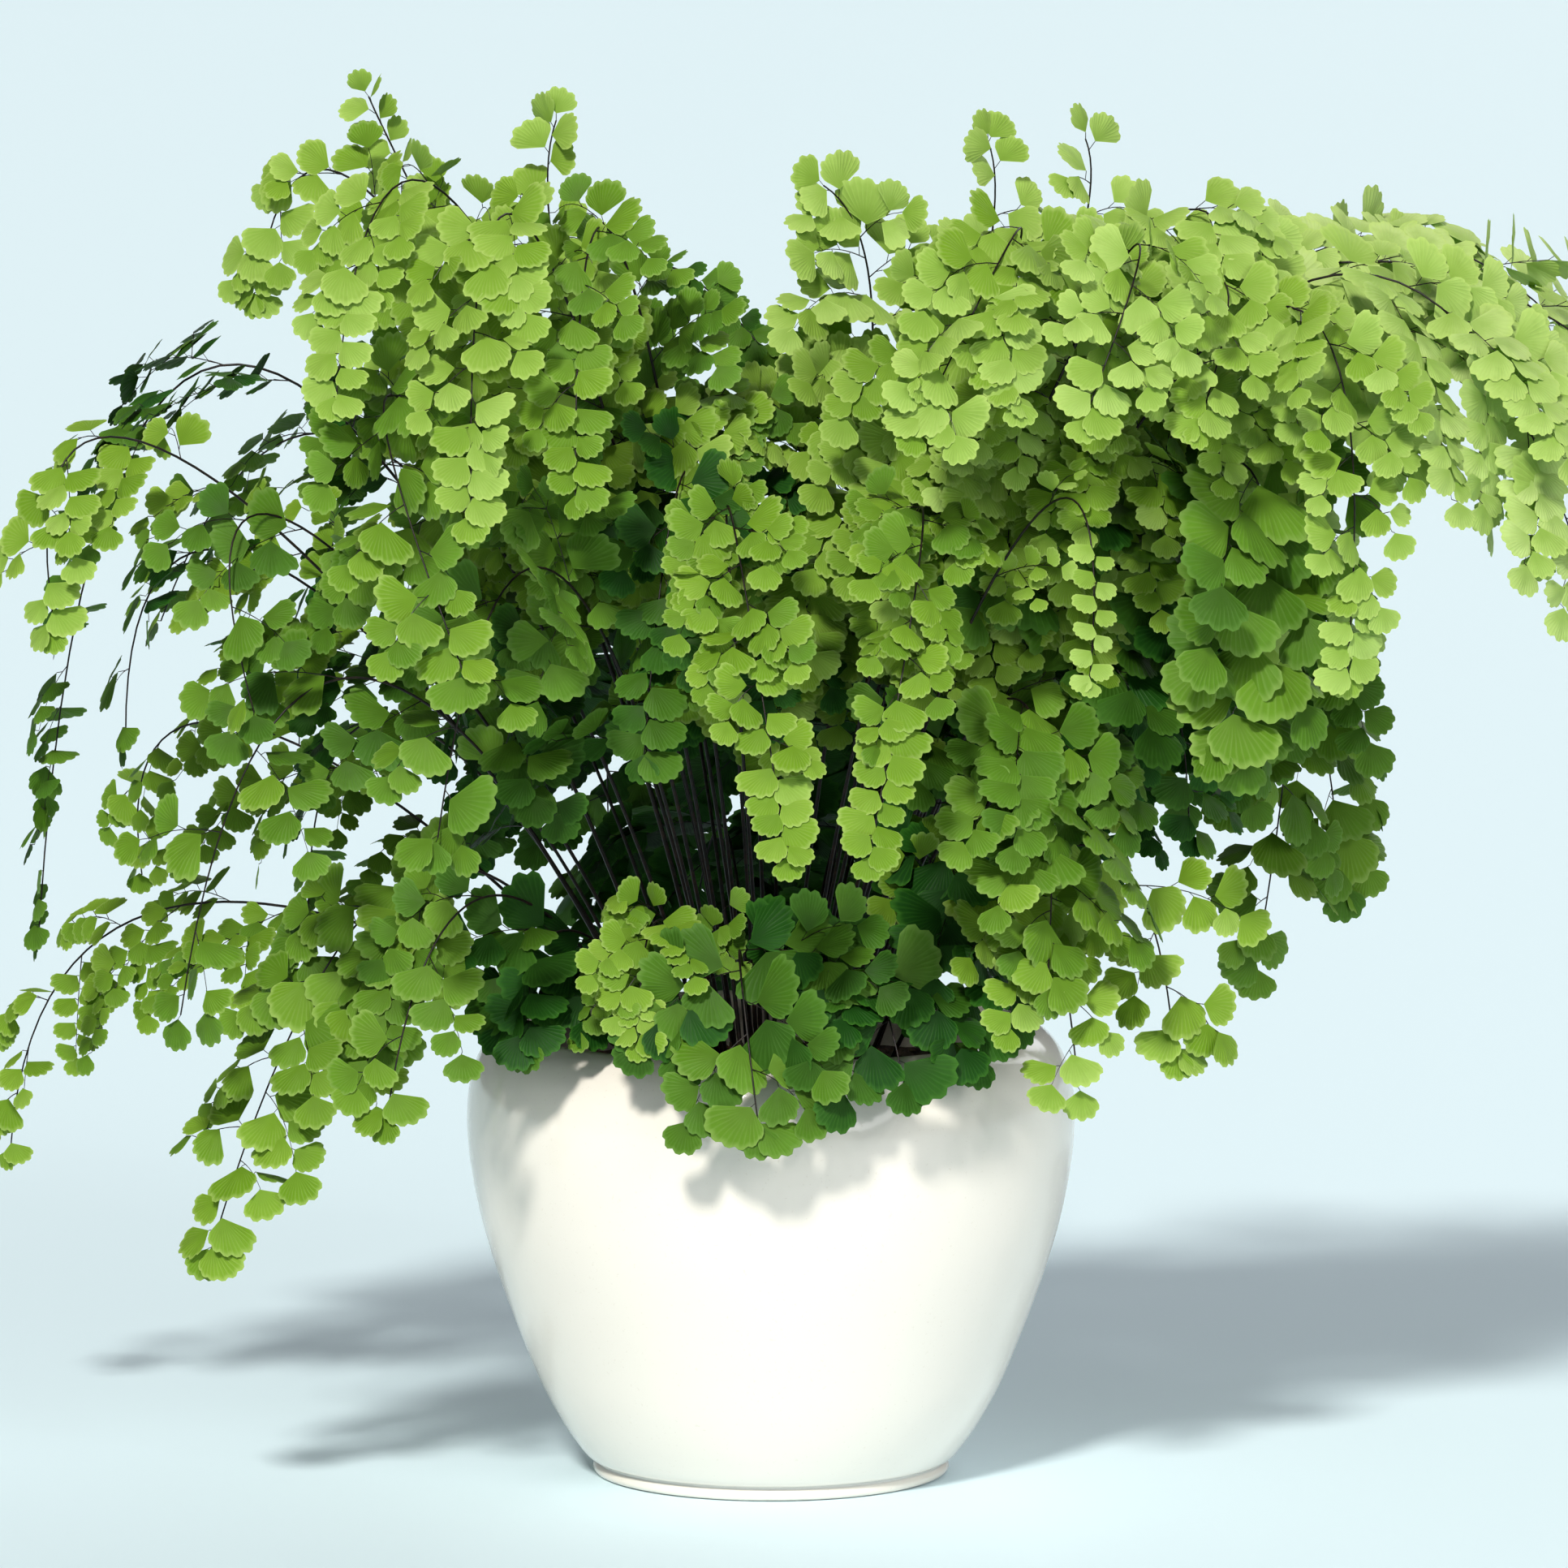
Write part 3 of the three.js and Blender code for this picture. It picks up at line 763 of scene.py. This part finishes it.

# A frond leaves the crown, passes its shoulder, where it turns over, and hangs to its tip.
# size scales its pinnae and leaflets, leaf its leaflets alone, full keeps its pinnae long towards the
# tip, spacing sets them apart, away turns its face from the light, and the youth value makes it paler:
# partly a younger frond's paler green, partly painted light and shade, since the fronds in the plant's
# shaded inside are given the darkest greens and those of the lit crest the palest.
fronds = [
    {"name": "crest_left_1", "shoulder": (-0.092, -0.014, 0.372), "tip": (-0.130, -0.020, 0.454),
     "size": 0.7, "youth": 0.72},
    {"name": "crest_left_2", "shoulder": (-0.060, -0.026, 0.355), "tip": (-0.069, -0.036, 0.447),
     "size": 0.55, "full": 2.5, "leaf": 1.3, "youth": 0.72},
    {"name": "crest_left_3", "shoulder": (-0.114, -0.028, 0.405), "tip": (-0.165, -0.042, 0.392),
     "youth": 0.66},
    {"name": "crest_left_4", "shoulder": (-0.093, -0.066, 0.412), "tip": (-0.136, -0.128, 0.365),
     "size": 0.85, "youth": 0.72},
    {"name": "crest_left_5", "shoulder": (-0.072, -0.082, 0.408), "tip": (-0.093, -0.150, 0.330),
     "size": 0.85, "leaf": 1.1, "youth": 0.72},
    {"name": "crest_left_6", "shoulder": (-0.046, -0.066, 0.402), "tip": (-0.061, -0.135, 0.335),
     "size": 0.8, "youth": 0.42},
    {"name": "crest_left_7", "shoulder": (-0.042, -0.008, 0.372), "tip": (-0.002, -0.026, 0.372),
     "size": 0.45, "youth": 0.2},
    {"name": "crest_left_8", "shoulder": (-0.112, -0.084, 0.355), "tip": (-0.095, -0.160, 0.280),
     "leaf": 1.1, "spacing": 1.2, "youth": 0.42},
    {"name": "crest_left_9", "shoulder": (-0.066, -0.098, 0.305), "tip": (-0.104, -0.150, 0.228),
     "leaf": 1.15, "spacing": 1.6, "youth": 0.3},
    {"name": "left_1", "shoulder": (-0.168, 0.012, 0.364), "tip": (-0.242, 0.020, 0.176),
     "size": 0.8, "away": 0.9, "spacing": 1.35, "youth": 0.22},
    {"name": "left_2", "shoulder": (-0.186, -0.035, 0.335), "tip": (-0.230, -0.060, 0.285),
     "size": 0.8, "spacing": 1.1, "youth": 0.65},
    {"name": "left_3", "shoulder": (-0.146, -0.062, 0.315), "tip": (-0.164, -0.098, 0.262),
     "leaf": 1.05, "spacing": 2.3, "youth": 0.25},
    {"name": "left_4", "shoulder": (-0.160, -0.012, 0.300), "tip": (-0.210, -0.022, 0.245),
     "away": 0.9, "spacing": 1.9, "youth": 0.15},
    {"name": "left_5", "shoulder": (-0.128, -0.072, 0.270), "tip": (-0.188, -0.098, 0.165),
     "leaf": 1.15, "spacing": 2.3, "youth": 0.34},
    {"name": "left_6", "shoulder": (-0.120, 0.028, 0.245), "tip": (-0.154, 0.040, 0.172),
     "size": 0.8, "away": 0.9, "spacing": 1.8, "youth": 0.15},
    {"name": "left_7", "shoulder": (-0.172, 0.098, 0.235), "tip": (-0.215, 0.130, 0.182),
     "spacing": 1.4, "away": 0, "leaf": 0.85, "youth": 0.5},
    {"name": "left_8", "shoulder": (-0.190, 0.070, 0.180), "tip": (-0.258, 0.095, 0.092),
     "spacing": 1.4, "away": 0, "leaf": 0.8, "youth": 0.58},
    {"name": "left_9", "shoulder": (-0.110, -0.044, 0.205), "tip": (-0.180, -0.072, 0.086),
     "leaf": 1.35, "spacing": 1.0, "size": 0.7, "youth": 0.5},
    {"name": "left_10", "shoulder": (-0.088, -0.070, 0.200), "tip": (-0.122, -0.104, 0.134),
     "size": 0.8, "leaf": 1.15, "spacing": 1.9, "youth": 0.4},
    {"name": "front_1", "shoulder": (-0.014, -0.084, 0.324), "tip": (0.005, -0.158, 0.224),
     "size": 0.42, "leaf": 1.35, "spacing": 0.85, "bare": 0.6, "youth": 0.62},
    {"name": "front_2", "shoulder": (0.046, -0.086, 0.324), "tip": (0.031, -0.158, 0.224),
     "size": 0.42, "leaf": 1.35, "spacing": 0.85, "bare": 0.58, "youth": 0.58},
    {"name": "front_3", "shoulder": (-0.022, -0.056, 0.332), "tip": (-0.040, -0.108, 0.250),
     "size": 0.7, "leaf": 1.2, "spacing": 1.2, "youth": 0.08},
    {"name": "front_4", "shoulder": (-0.006, 0.034, 0.346), "tip": (0.030, 0.084, 0.322),
     "size": 0.8, "youth": 0.1},
    {"name": "front_5", "shoulder": (-0.010, -0.084, 0.184), "tip": (-0.004, -0.120, 0.134),
     "size": 0.75, "leaf": 1.45, "spacing": 0.9, "youth": 0.25},
    {"name": "front_6", "shoulder": (-0.034, -0.072, 0.192), "tip": (-0.042, -0.104, 0.158),
     "size": 0.55, "spacing": 0.7, "youth": 0.58},
    {"name": "front_7", "shoulder": (-0.062, -0.054, 0.186), "tip": (-0.084, -0.076, 0.160),
     "size": 0.8, "leaf": 1.4, "youth": 0.05},
    {"name": "front_8", "shoulder": (0.028, -0.080, 0.178), "tip": (0.042, -0.110, 0.146),
     "size": 0.8, "leaf": 1.5, "youth": 0.08},
    {"name": "front_9", "shoulder": (0.052, -0.056, 0.196), "tip": (0.066, -0.086, 0.152),
     "size": 0.7, "leaf": 1.5, "youth": 0.02},
    {"name": "crest_right_1", "shoulder": (0.032, -0.020, 0.350), "tip": (0.017, -0.034, 0.426),
     "full": 2, "spacing": 0.7, "leaf": 1.1, "youth": 0.82},
    {"name": "crest_right_2", "shoulder": (0.060, -0.022, 0.355), "tip": (0.070, -0.032, 0.440),
     "size": 0.6, "full": 3, "leaf": 1.3, "spacing": 1.0, "youth": 0.84},
    {"name": "crest_right_3", "shoulder": (0.084, -0.010, 0.355), "tip": (0.102, -0.014, 0.440),
     "size": 0.6, "full": 3, "spacing": 1.0, "leaf": 1.3, "youth": 0.84},
    {"name": "crest_right_4", "shoulder": (0.106, -0.048, 0.390), "tip": (0.148, -0.084, 0.394),
     "full": 1.6, "spacing": 0.9, "youth": 0.88},
    {"name": "crest_right_5", "shoulder": (0.150, 0.004, 0.386), "tip": (0.318, -0.008, 0.326),
     "size": 1.2, "full": 3, "away": 0, "youth": 1.35},
    {"name": "crest_right_6", "shoulder": (0.160, -0.048, 0.390), "tip": (0.262, -0.084, 0.296),
     "size": 1.2, "full": 2, "youth": 1.15},
    {"name": "crest_right_7", "shoulder": (0.150, 0.056, 0.380), "tip": (0.270, 0.072, 0.366),
     "size": 1.15, "full": 2.5, "away": 0.2, "youth": 1.3},
    {"name": "crest_right_8", "shoulder": (0.146, -0.086, 0.384), "tip": (0.182, -0.118, 0.278),
     "size": 0.8, "youth": 0.76},
    {"name": "crest_right_9", "shoulder": (0.076, -0.078, 0.398), "tip": (0.046, -0.142, 0.356),
     "size": 1.0, "spacing": 0.9, "full": 1.5, "youth": 0.76},
    {"name": "crest_right_10", "shoulder": (0.104, -0.088, 0.392), "tip": (0.098, -0.150, 0.360),
     "size": 0.7, "leaf": 1.15, "full": 2, "youth": 0.84},
    {"name": "crest_right_11", "shoulder": (0.124, -0.062, 0.378), "tip": (0.134, -0.134, 0.356),
     "size": 0.85, "full": 1.8, "youth": 0.76},
    {"name": "crest_right_12", "shoulder": (0.134, -0.064, 0.335), "tip": (0.150, -0.096, 0.250),
     "leaf": 1.6, "youth": 0.3},
    {"name": "crest_right_13", "shoulder": (0.082, -0.098, 0.322), "tip": (0.100, -0.140, 0.276),
     "size": 0.5, "spacing": 2.6, "leaf": 0.8, "youth": 0.8},
    {"name": "right_1", "shoulder": (0.150, 0.056, 0.310), "tip": (0.164, 0.100, 0.154),
     "away": 0, "spacing": 1.15, "leaf": 1.25, "youth": 0.3},
    {"name": "right_2", "shoulder": (0.140, 0.092, 0.290), "tip": (0.194, 0.122, 0.180),
     "leaf": 1.3, "away": 0, "spacing": 1.15, "youth": 0.32},
    {"name": "right_3", "shoulder": (0.102, -0.010, 0.282), "tip": (0.136, -0.032, 0.216), "youth": 0.02},
    {"name": "right_4", "shoulder": (0.074, -0.062, 0.262), "tip": (0.088, -0.108, 0.176),
     "leaf": 1.2, "away": 0.75, "youth": 0.36},
    {"name": "right_5", "shoulder": (0.098, -0.036, 0.212), "tip": (0.130, -0.064, 0.150),
     "size": 0.8, "leaf": 1.3, "spacing": 1.35, "youth": 0.7},
    {"name": "right_6", "shoulder": (0.074, -0.066, 0.205), "tip": (0.098, -0.098, 0.142),
     "size": 0.75, "leaf": 1.2, "spacing": 1.4, "youth": 0.7},
    {"name": "back_1", "shoulder": (-0.100, 0.088, 0.355), "tip": (-0.150, 0.168, 0.300),
     "spacing": 1.4, "youth": 0.3},
    {"name": "back_2", "shoulder": (-0.052, 0.112, 0.345), "tip": (-0.080, 0.204, 0.262), "youth": 0.25},
    {"name": "back_3", "shoulder": (0.004, 0.096, 0.272), "tip": (0.008, 0.168, 0.176),
     "full": 3, "spacing": 0.7, "leaf": 1.2, "youth": 0.02},
    {"name": "back_4", "shoulder": (0.062, 0.108, 0.350), "tip": (0.094, 0.202, 0.268), "youth": 0.3},
    {"name": "back_5", "shoulder": (0.108, 0.082, 0.366), "tip": (0.176, 0.150, 0.315), "youth": 0.5},
    {"name": "back_6", "shoulder": (-0.046, 0.098, 0.268), "tip": (-0.056, 0.176, 0.178),
     "full": 3, "spacing": 0.7, "leaf": 1.2, "youth": 0.08},
    {"name": "back_7", "shoulder": (0.052, 0.104, 0.268), "tip": (0.060, 0.178, 0.176),
     "full": 3, "spacing": 0.7, "leaf": 1.2, "youth": 0.08},
    {"name": "back_8", "shoulder": (-0.124, 0.048, 0.330), "tip": (-0.206, 0.100, 0.272),
     "spacing": 1.5, "youth": 0.35},
    {"name": "back_9", "shoulder": (-0.016, 0.066, 0.206), "tip": (-0.030, 0.112, 0.140),
     "size": 0.8, "full": 3, "spacing": 0.7, "leaf": 1.2, "youth": 0.02},
    {"name": "back_10", "shoulder": (0.024, 0.060, 0.206), "tip": (0.036, 0.110, 0.140),
     "size": 0.8, "full": 3, "spacing": 0.7, "leaf": 1.2, "youth": 0.02},
]


def frondAxis(frond):
    top, end = Vector(frond["shoulder"]), Vector(frond["tip"])
    spread = crown["rootDepth"] / (top.z - mix["top"] + crown["rootDepth"])
    foot = Vector((top.x * spread, top.y * spread, 0))
    foot *= min(1, crown["edge"] / foot.length)
    foot.z = crownHeight(foot.length) + axisCurve["seat"]
    lean = foot.lerp(top, axisCurve["leanOut"])
    lean.z = foot.z + axisCurve["leanUp"] * (top.z - foot.z)
    first, second, third, last = axisCurve["weights"]
    bend = (top - foot * first - lean * second - end * last) / third
    return bezier([foot, lean, bend, end], axisCurve["steps"])


def facingAt(point, away):
    outwards = Vector((point.x, point.y, 0)).normalized()
    lit = max(outlook["least"], min(1.0, (outlook["from"] - point.y) / outlook["over"]))
    if away is not None:
        lit = 1 - away
    return (outwards * outlook["out"] + up * outlook["up"] + Vector(outlook["light"]) * lit).normalized()


def scatter(chance, spreads):
    return Vector([chance.gauss(0, spread) for spread in spreads])


class Spray:
    # collects a frond's stems and leaflets while it grows
    def __init__(self, frond, seed):
        self.chance = random.Random(seed)
        self.size = frond.get("size", 1.0)
        self.leaf = frond.get("leaf", 1.0) * self.size ** 0.5
        self.away = frond.get("away")
        self.youth = frond.get("youth", 0.5)
        self.full = frond.get("full", 1.0)
        self.spacing = frond.get("spacing", 1.0)
        self.bare = frond.get("bare", growth["bare"])
        self.stems = []
        self.leaflets = []

    def addStem(self, points, first, last):
        self.stems.append((points, first, last))

    def addLeaflet(self, point, direction, facing, size, youth, hand=0):
        chance = self.chance
        direction = (direction + down * stance["drop"] + facing * stance["towardsFace"]).normalized()
        stalk = growth["stalk"] * size * chance.uniform(*stance["stalk"])
        root = point + direction * stalk + facing * growth["lift"] * chance.uniform(*stance["lift"])
        self.addStem([point, root], growth["stalkRadius"], growth["stalkRadius"])
        across = direction.cross(facing + scatter(chance, stance["tilt"])).normalized()
        normal = across.cross(direction)
        scale = size * chance.uniform(*stance["size"])
        place = Matrix.Translation(root) @ Matrix((across, direction, normal)).transposed().to_4x4()
        place @= Matrix.Diagonal((scale * chance.uniform(*stance["width"]), scale, scale, 1))
        youth = max(0.0, youth + chance.gauss(0, stance["youth"]))
        self.leaflets.append((place, hand, chance.random(), youth))

    def addSideLeaflet(self, point, ahead, across, facing, size, youth, side):
        # one of a row of leaflets; returns the distance to the next
        lean = (across * stance["aside"] + ahead * stance["ahead"]).normalized()
        self.addLeaflet(point, lean, facing, size, youth, side)
        return growth["leafletStep"] * size * self.spacing ** 0.5 * self.chance.uniform(*stance["gap"])

    def addString(self, path, size, youth, start):
        # leaflets alternate along a pinna and end in one that points ahead
        chance = self.chance
        distance, side = start, chance.choice((-1, 1))
        turn = scatter(chance, pinna["turn"])
        while distance < path.length - pinna["endGap"]:
            share = distance / path.length
            point, ahead = path.at(distance)
            facing = (facingAt(point, self.away) + turn).normalized()
            across = ahead.cross(facing).normalized() * side
            grown = size * (pinna["footSize"] - stance["smaller"] * share)
            distance += self.addSideLeaflet(point, ahead, across, facing, grown, youth, side)
            side = -side
        point, ahead = path.at(path.length)
        facing = (facingAt(point, self.away) + turn).normalized()
        self.addLeaflet(point, ahead, facing, size * stance["endSize"], youth)

    def addBranches(self, path, length, facing, youth, droop, side):
        for part in branching["at"]:
            point, ahead = path.at(length * part)
            across = ahead.cross(facing).normalized() * side
            way = (across * branching["aside"] + ahead * branching["ahead"]).normalized()
            branch = pinnaPath(point, way, length * (0.62 - 0.5 * part), droop)
            self.addStem(branch.points, growth["pinnaRadius"] * 0.8, growth["pinnaRadius"] * 0.5)
            self.addString(branch, self.leaf, youth, branching["start"])
            side = -side


def pinnaPath(root, direction, length, droop):
    middle = root + direction * length * 0.5
    end = root + direction * length * (0.92 - 0.3 * droop) + down * length * droop
    return bezier([root, middle, end], pinna["steps"])


def pinnaWay(spray, ahead, across, facing):
    swing = spray.chance.gauss(0, pinna["swing"])
    way = across * (pinna["aside"] - swing) + ahead * (pinna["ahead"] + swing) + up * pinna["rise"]
    way += facing * spray.chance.gauss(*pinna["towardsFace"])
    if ahead.z < 0.3:  # past the shoulder a pinna hardly rises
        way.z = min(way.z, 0.2)
    elif spray.full > 1:
        way.z = min(way.z, 0.4)
    return way.normalized()


def growFrond(frond, seed):
    spray = Spray(frond, seed)
    chance, size = spray.chance, spray.size
    axis = frondAxis(frond)
    spray.addStem(axis.points, growth["stipeRadius"], growth["rachisRadius"])
    start = axis.length * spray.bare
    distance, side = start, chance.choice((-1, 1))
    while distance < axis.length:
        share = (distance - start) / (axis.length - start)
        youth = spray.youth + growth["younger"] * (share - 0.6)
        point, ahead = axis.at(distance)
        facing = facingAt(point, spray.away)
        across = ahead.cross(facing).normalized() * side
        way = pinnaWay(spray, ahead, across, facing)
        taper = min(1.0, 0.6 + 3.0 * share) * (1 - 0.90 * share ** spray.full)
        length = growth["pinnaLength"] * size * taper * chance.uniform(*pinna["length"])
        if length < growth["shortest"]:  # the tip bears leaflets, one by one
            grown = spray.leaf * (pinna["tipSize"] - stance["smaller"] * share)
            distance += spray.addSideLeaflet(point, ahead, across, facing, grown, youth, side)
            side = -side
            continue
        droop = chance.uniform(*pinna["droop"])
        path = pinnaPath(point, way, length, droop)
        spray.addStem(path.points, growth["pinnaRadius"], growth["pinnaRadius"] * 0.5)
        spray.addString(path, spray.leaf, youth, pinna["start"])
        if share < branching["until"] and length > branching["longest"] * size:
            spray.addBranches(path, length, facing, youth, droop, side)
        gap = growth["pinnaStep"] * spray.spacing * (1 - pinna["closer"] * share)
        distance += gap * chance.uniform(*pinna["gap"])
        side = -side
    point, ahead = axis.at(axis.length)
    facing = facingAt(point, spray.away)
    spray.addLeaflet(point, ahead, facing, spray.leaf * stance["endSize"], spray.youth)
    return spray


def makeTubes(name, stems, roundness):
    curve = bpy.data.curves.new(name, "CURVE")
    curve.dimensions = "3D"
    curve.bevel_depth = 1.0
    curve.bevel_resolution = roundness
    curve.use_fill_caps = True
    for points, first, last in stems:
        spline = curve.splines.new("POLY")
        spline.points.add(len(points) - 1)
        for k, point in enumerate(points):
            share = k / (len(points) - 1)
            spline.points[k].co = (*point, 1)
            spline.points[k].radius = first + (last - first) * share ** 0.6
    piece = bpy.data.objects.new(name, curve)
    bpy.context.collection.objects.link(piece)
    choose(piece)
    bpy.ops.object.convert(target="MESH")
    return bpy.context.object


def makeStems(name, stems):
    rachis = makeTubes(name, stems[:1], 2)
    fine = makeTubes(name + "_fine", stems[1:], 0)
    choose(rachis, fine)
    bpy.ops.object.join()
    smooth(rachis, 60)
    return rachis


def makeLeaflets(name, leaflets, kinds):
    cells = math.ceil(math.sqrt(len(leaflets)))
    copies = []
    for number, (place, hand, tone, youth) in enumerate(leaflets):
        kind = kinds[hand][number * 7 % len(kinds[hand])]
        copy = kind.copy()
        copy.data = kind.data.copy()
        copy.data.transform(place)
        for label, value in (("tone", tone), ("youth", youth)):
            level = copy.data.attributes.new(label, "FLOAT", "POINT")
            level.data.foreach_set("value", [value] * len(copy.data.vertices))
        laid = copy.data.uv_layers["OFBake"].uv
        corner = (number % cells, number // cells)
        flat = [0.0] * (2 * len(laid))
        laid.foreach_get("vector", flat)
        laid.foreach_set("vector", [(corner[k % 2] + value) / cells for k, value in enumerate(flat)])
        bpy.context.collection.objects.link(copy)
        copies.append(copy)
    choose(*copies)
    spare = [copy.data for copy in copies[1:]]
    bpy.ops.object.join()
    for mesh in spare:
        bpy.data.meshes.remove(mesh)
    return latest(name)


def makeFronds():
    kinds = {hand: [modelLeaflet(kind, hand) for kind in leafletKinds] for hand in (-1, 1)}
    kinds[0] = [modelLeaflet(tipKind, 0)]
    green, black = leafletMaterial(), stipeMaterial()
    feet, count = [], 0
    for seed, frond in enumerate(fronds):
        spray = growFrond(frond, seed)
        node = "frond_" + frond["name"]
        stems = makeStems(f"{node}_stems", spray.stems)
        finished(stems, "stipes", black, node)
        blades = makeLeaflets(f"{node}_leaflets", spray.leaflets, kinds)
        finished(blades, "leaflets", green, node)
        feet.append(spray.stems[0][0][0])
        count += len(spray.leaflets)
    for kind in kinds[-1] + kinds[0] + kinds[1]:
        bpy.data.objects.remove(kind)
    print("fronds:", len(fronds), "leaflets:", count)
    return feet


makeStage()
print("stage set")
makePot()
print("pot turned")
makeMix()
print("pot filled")
makeCrown(makeFronds())
print("crown planted")
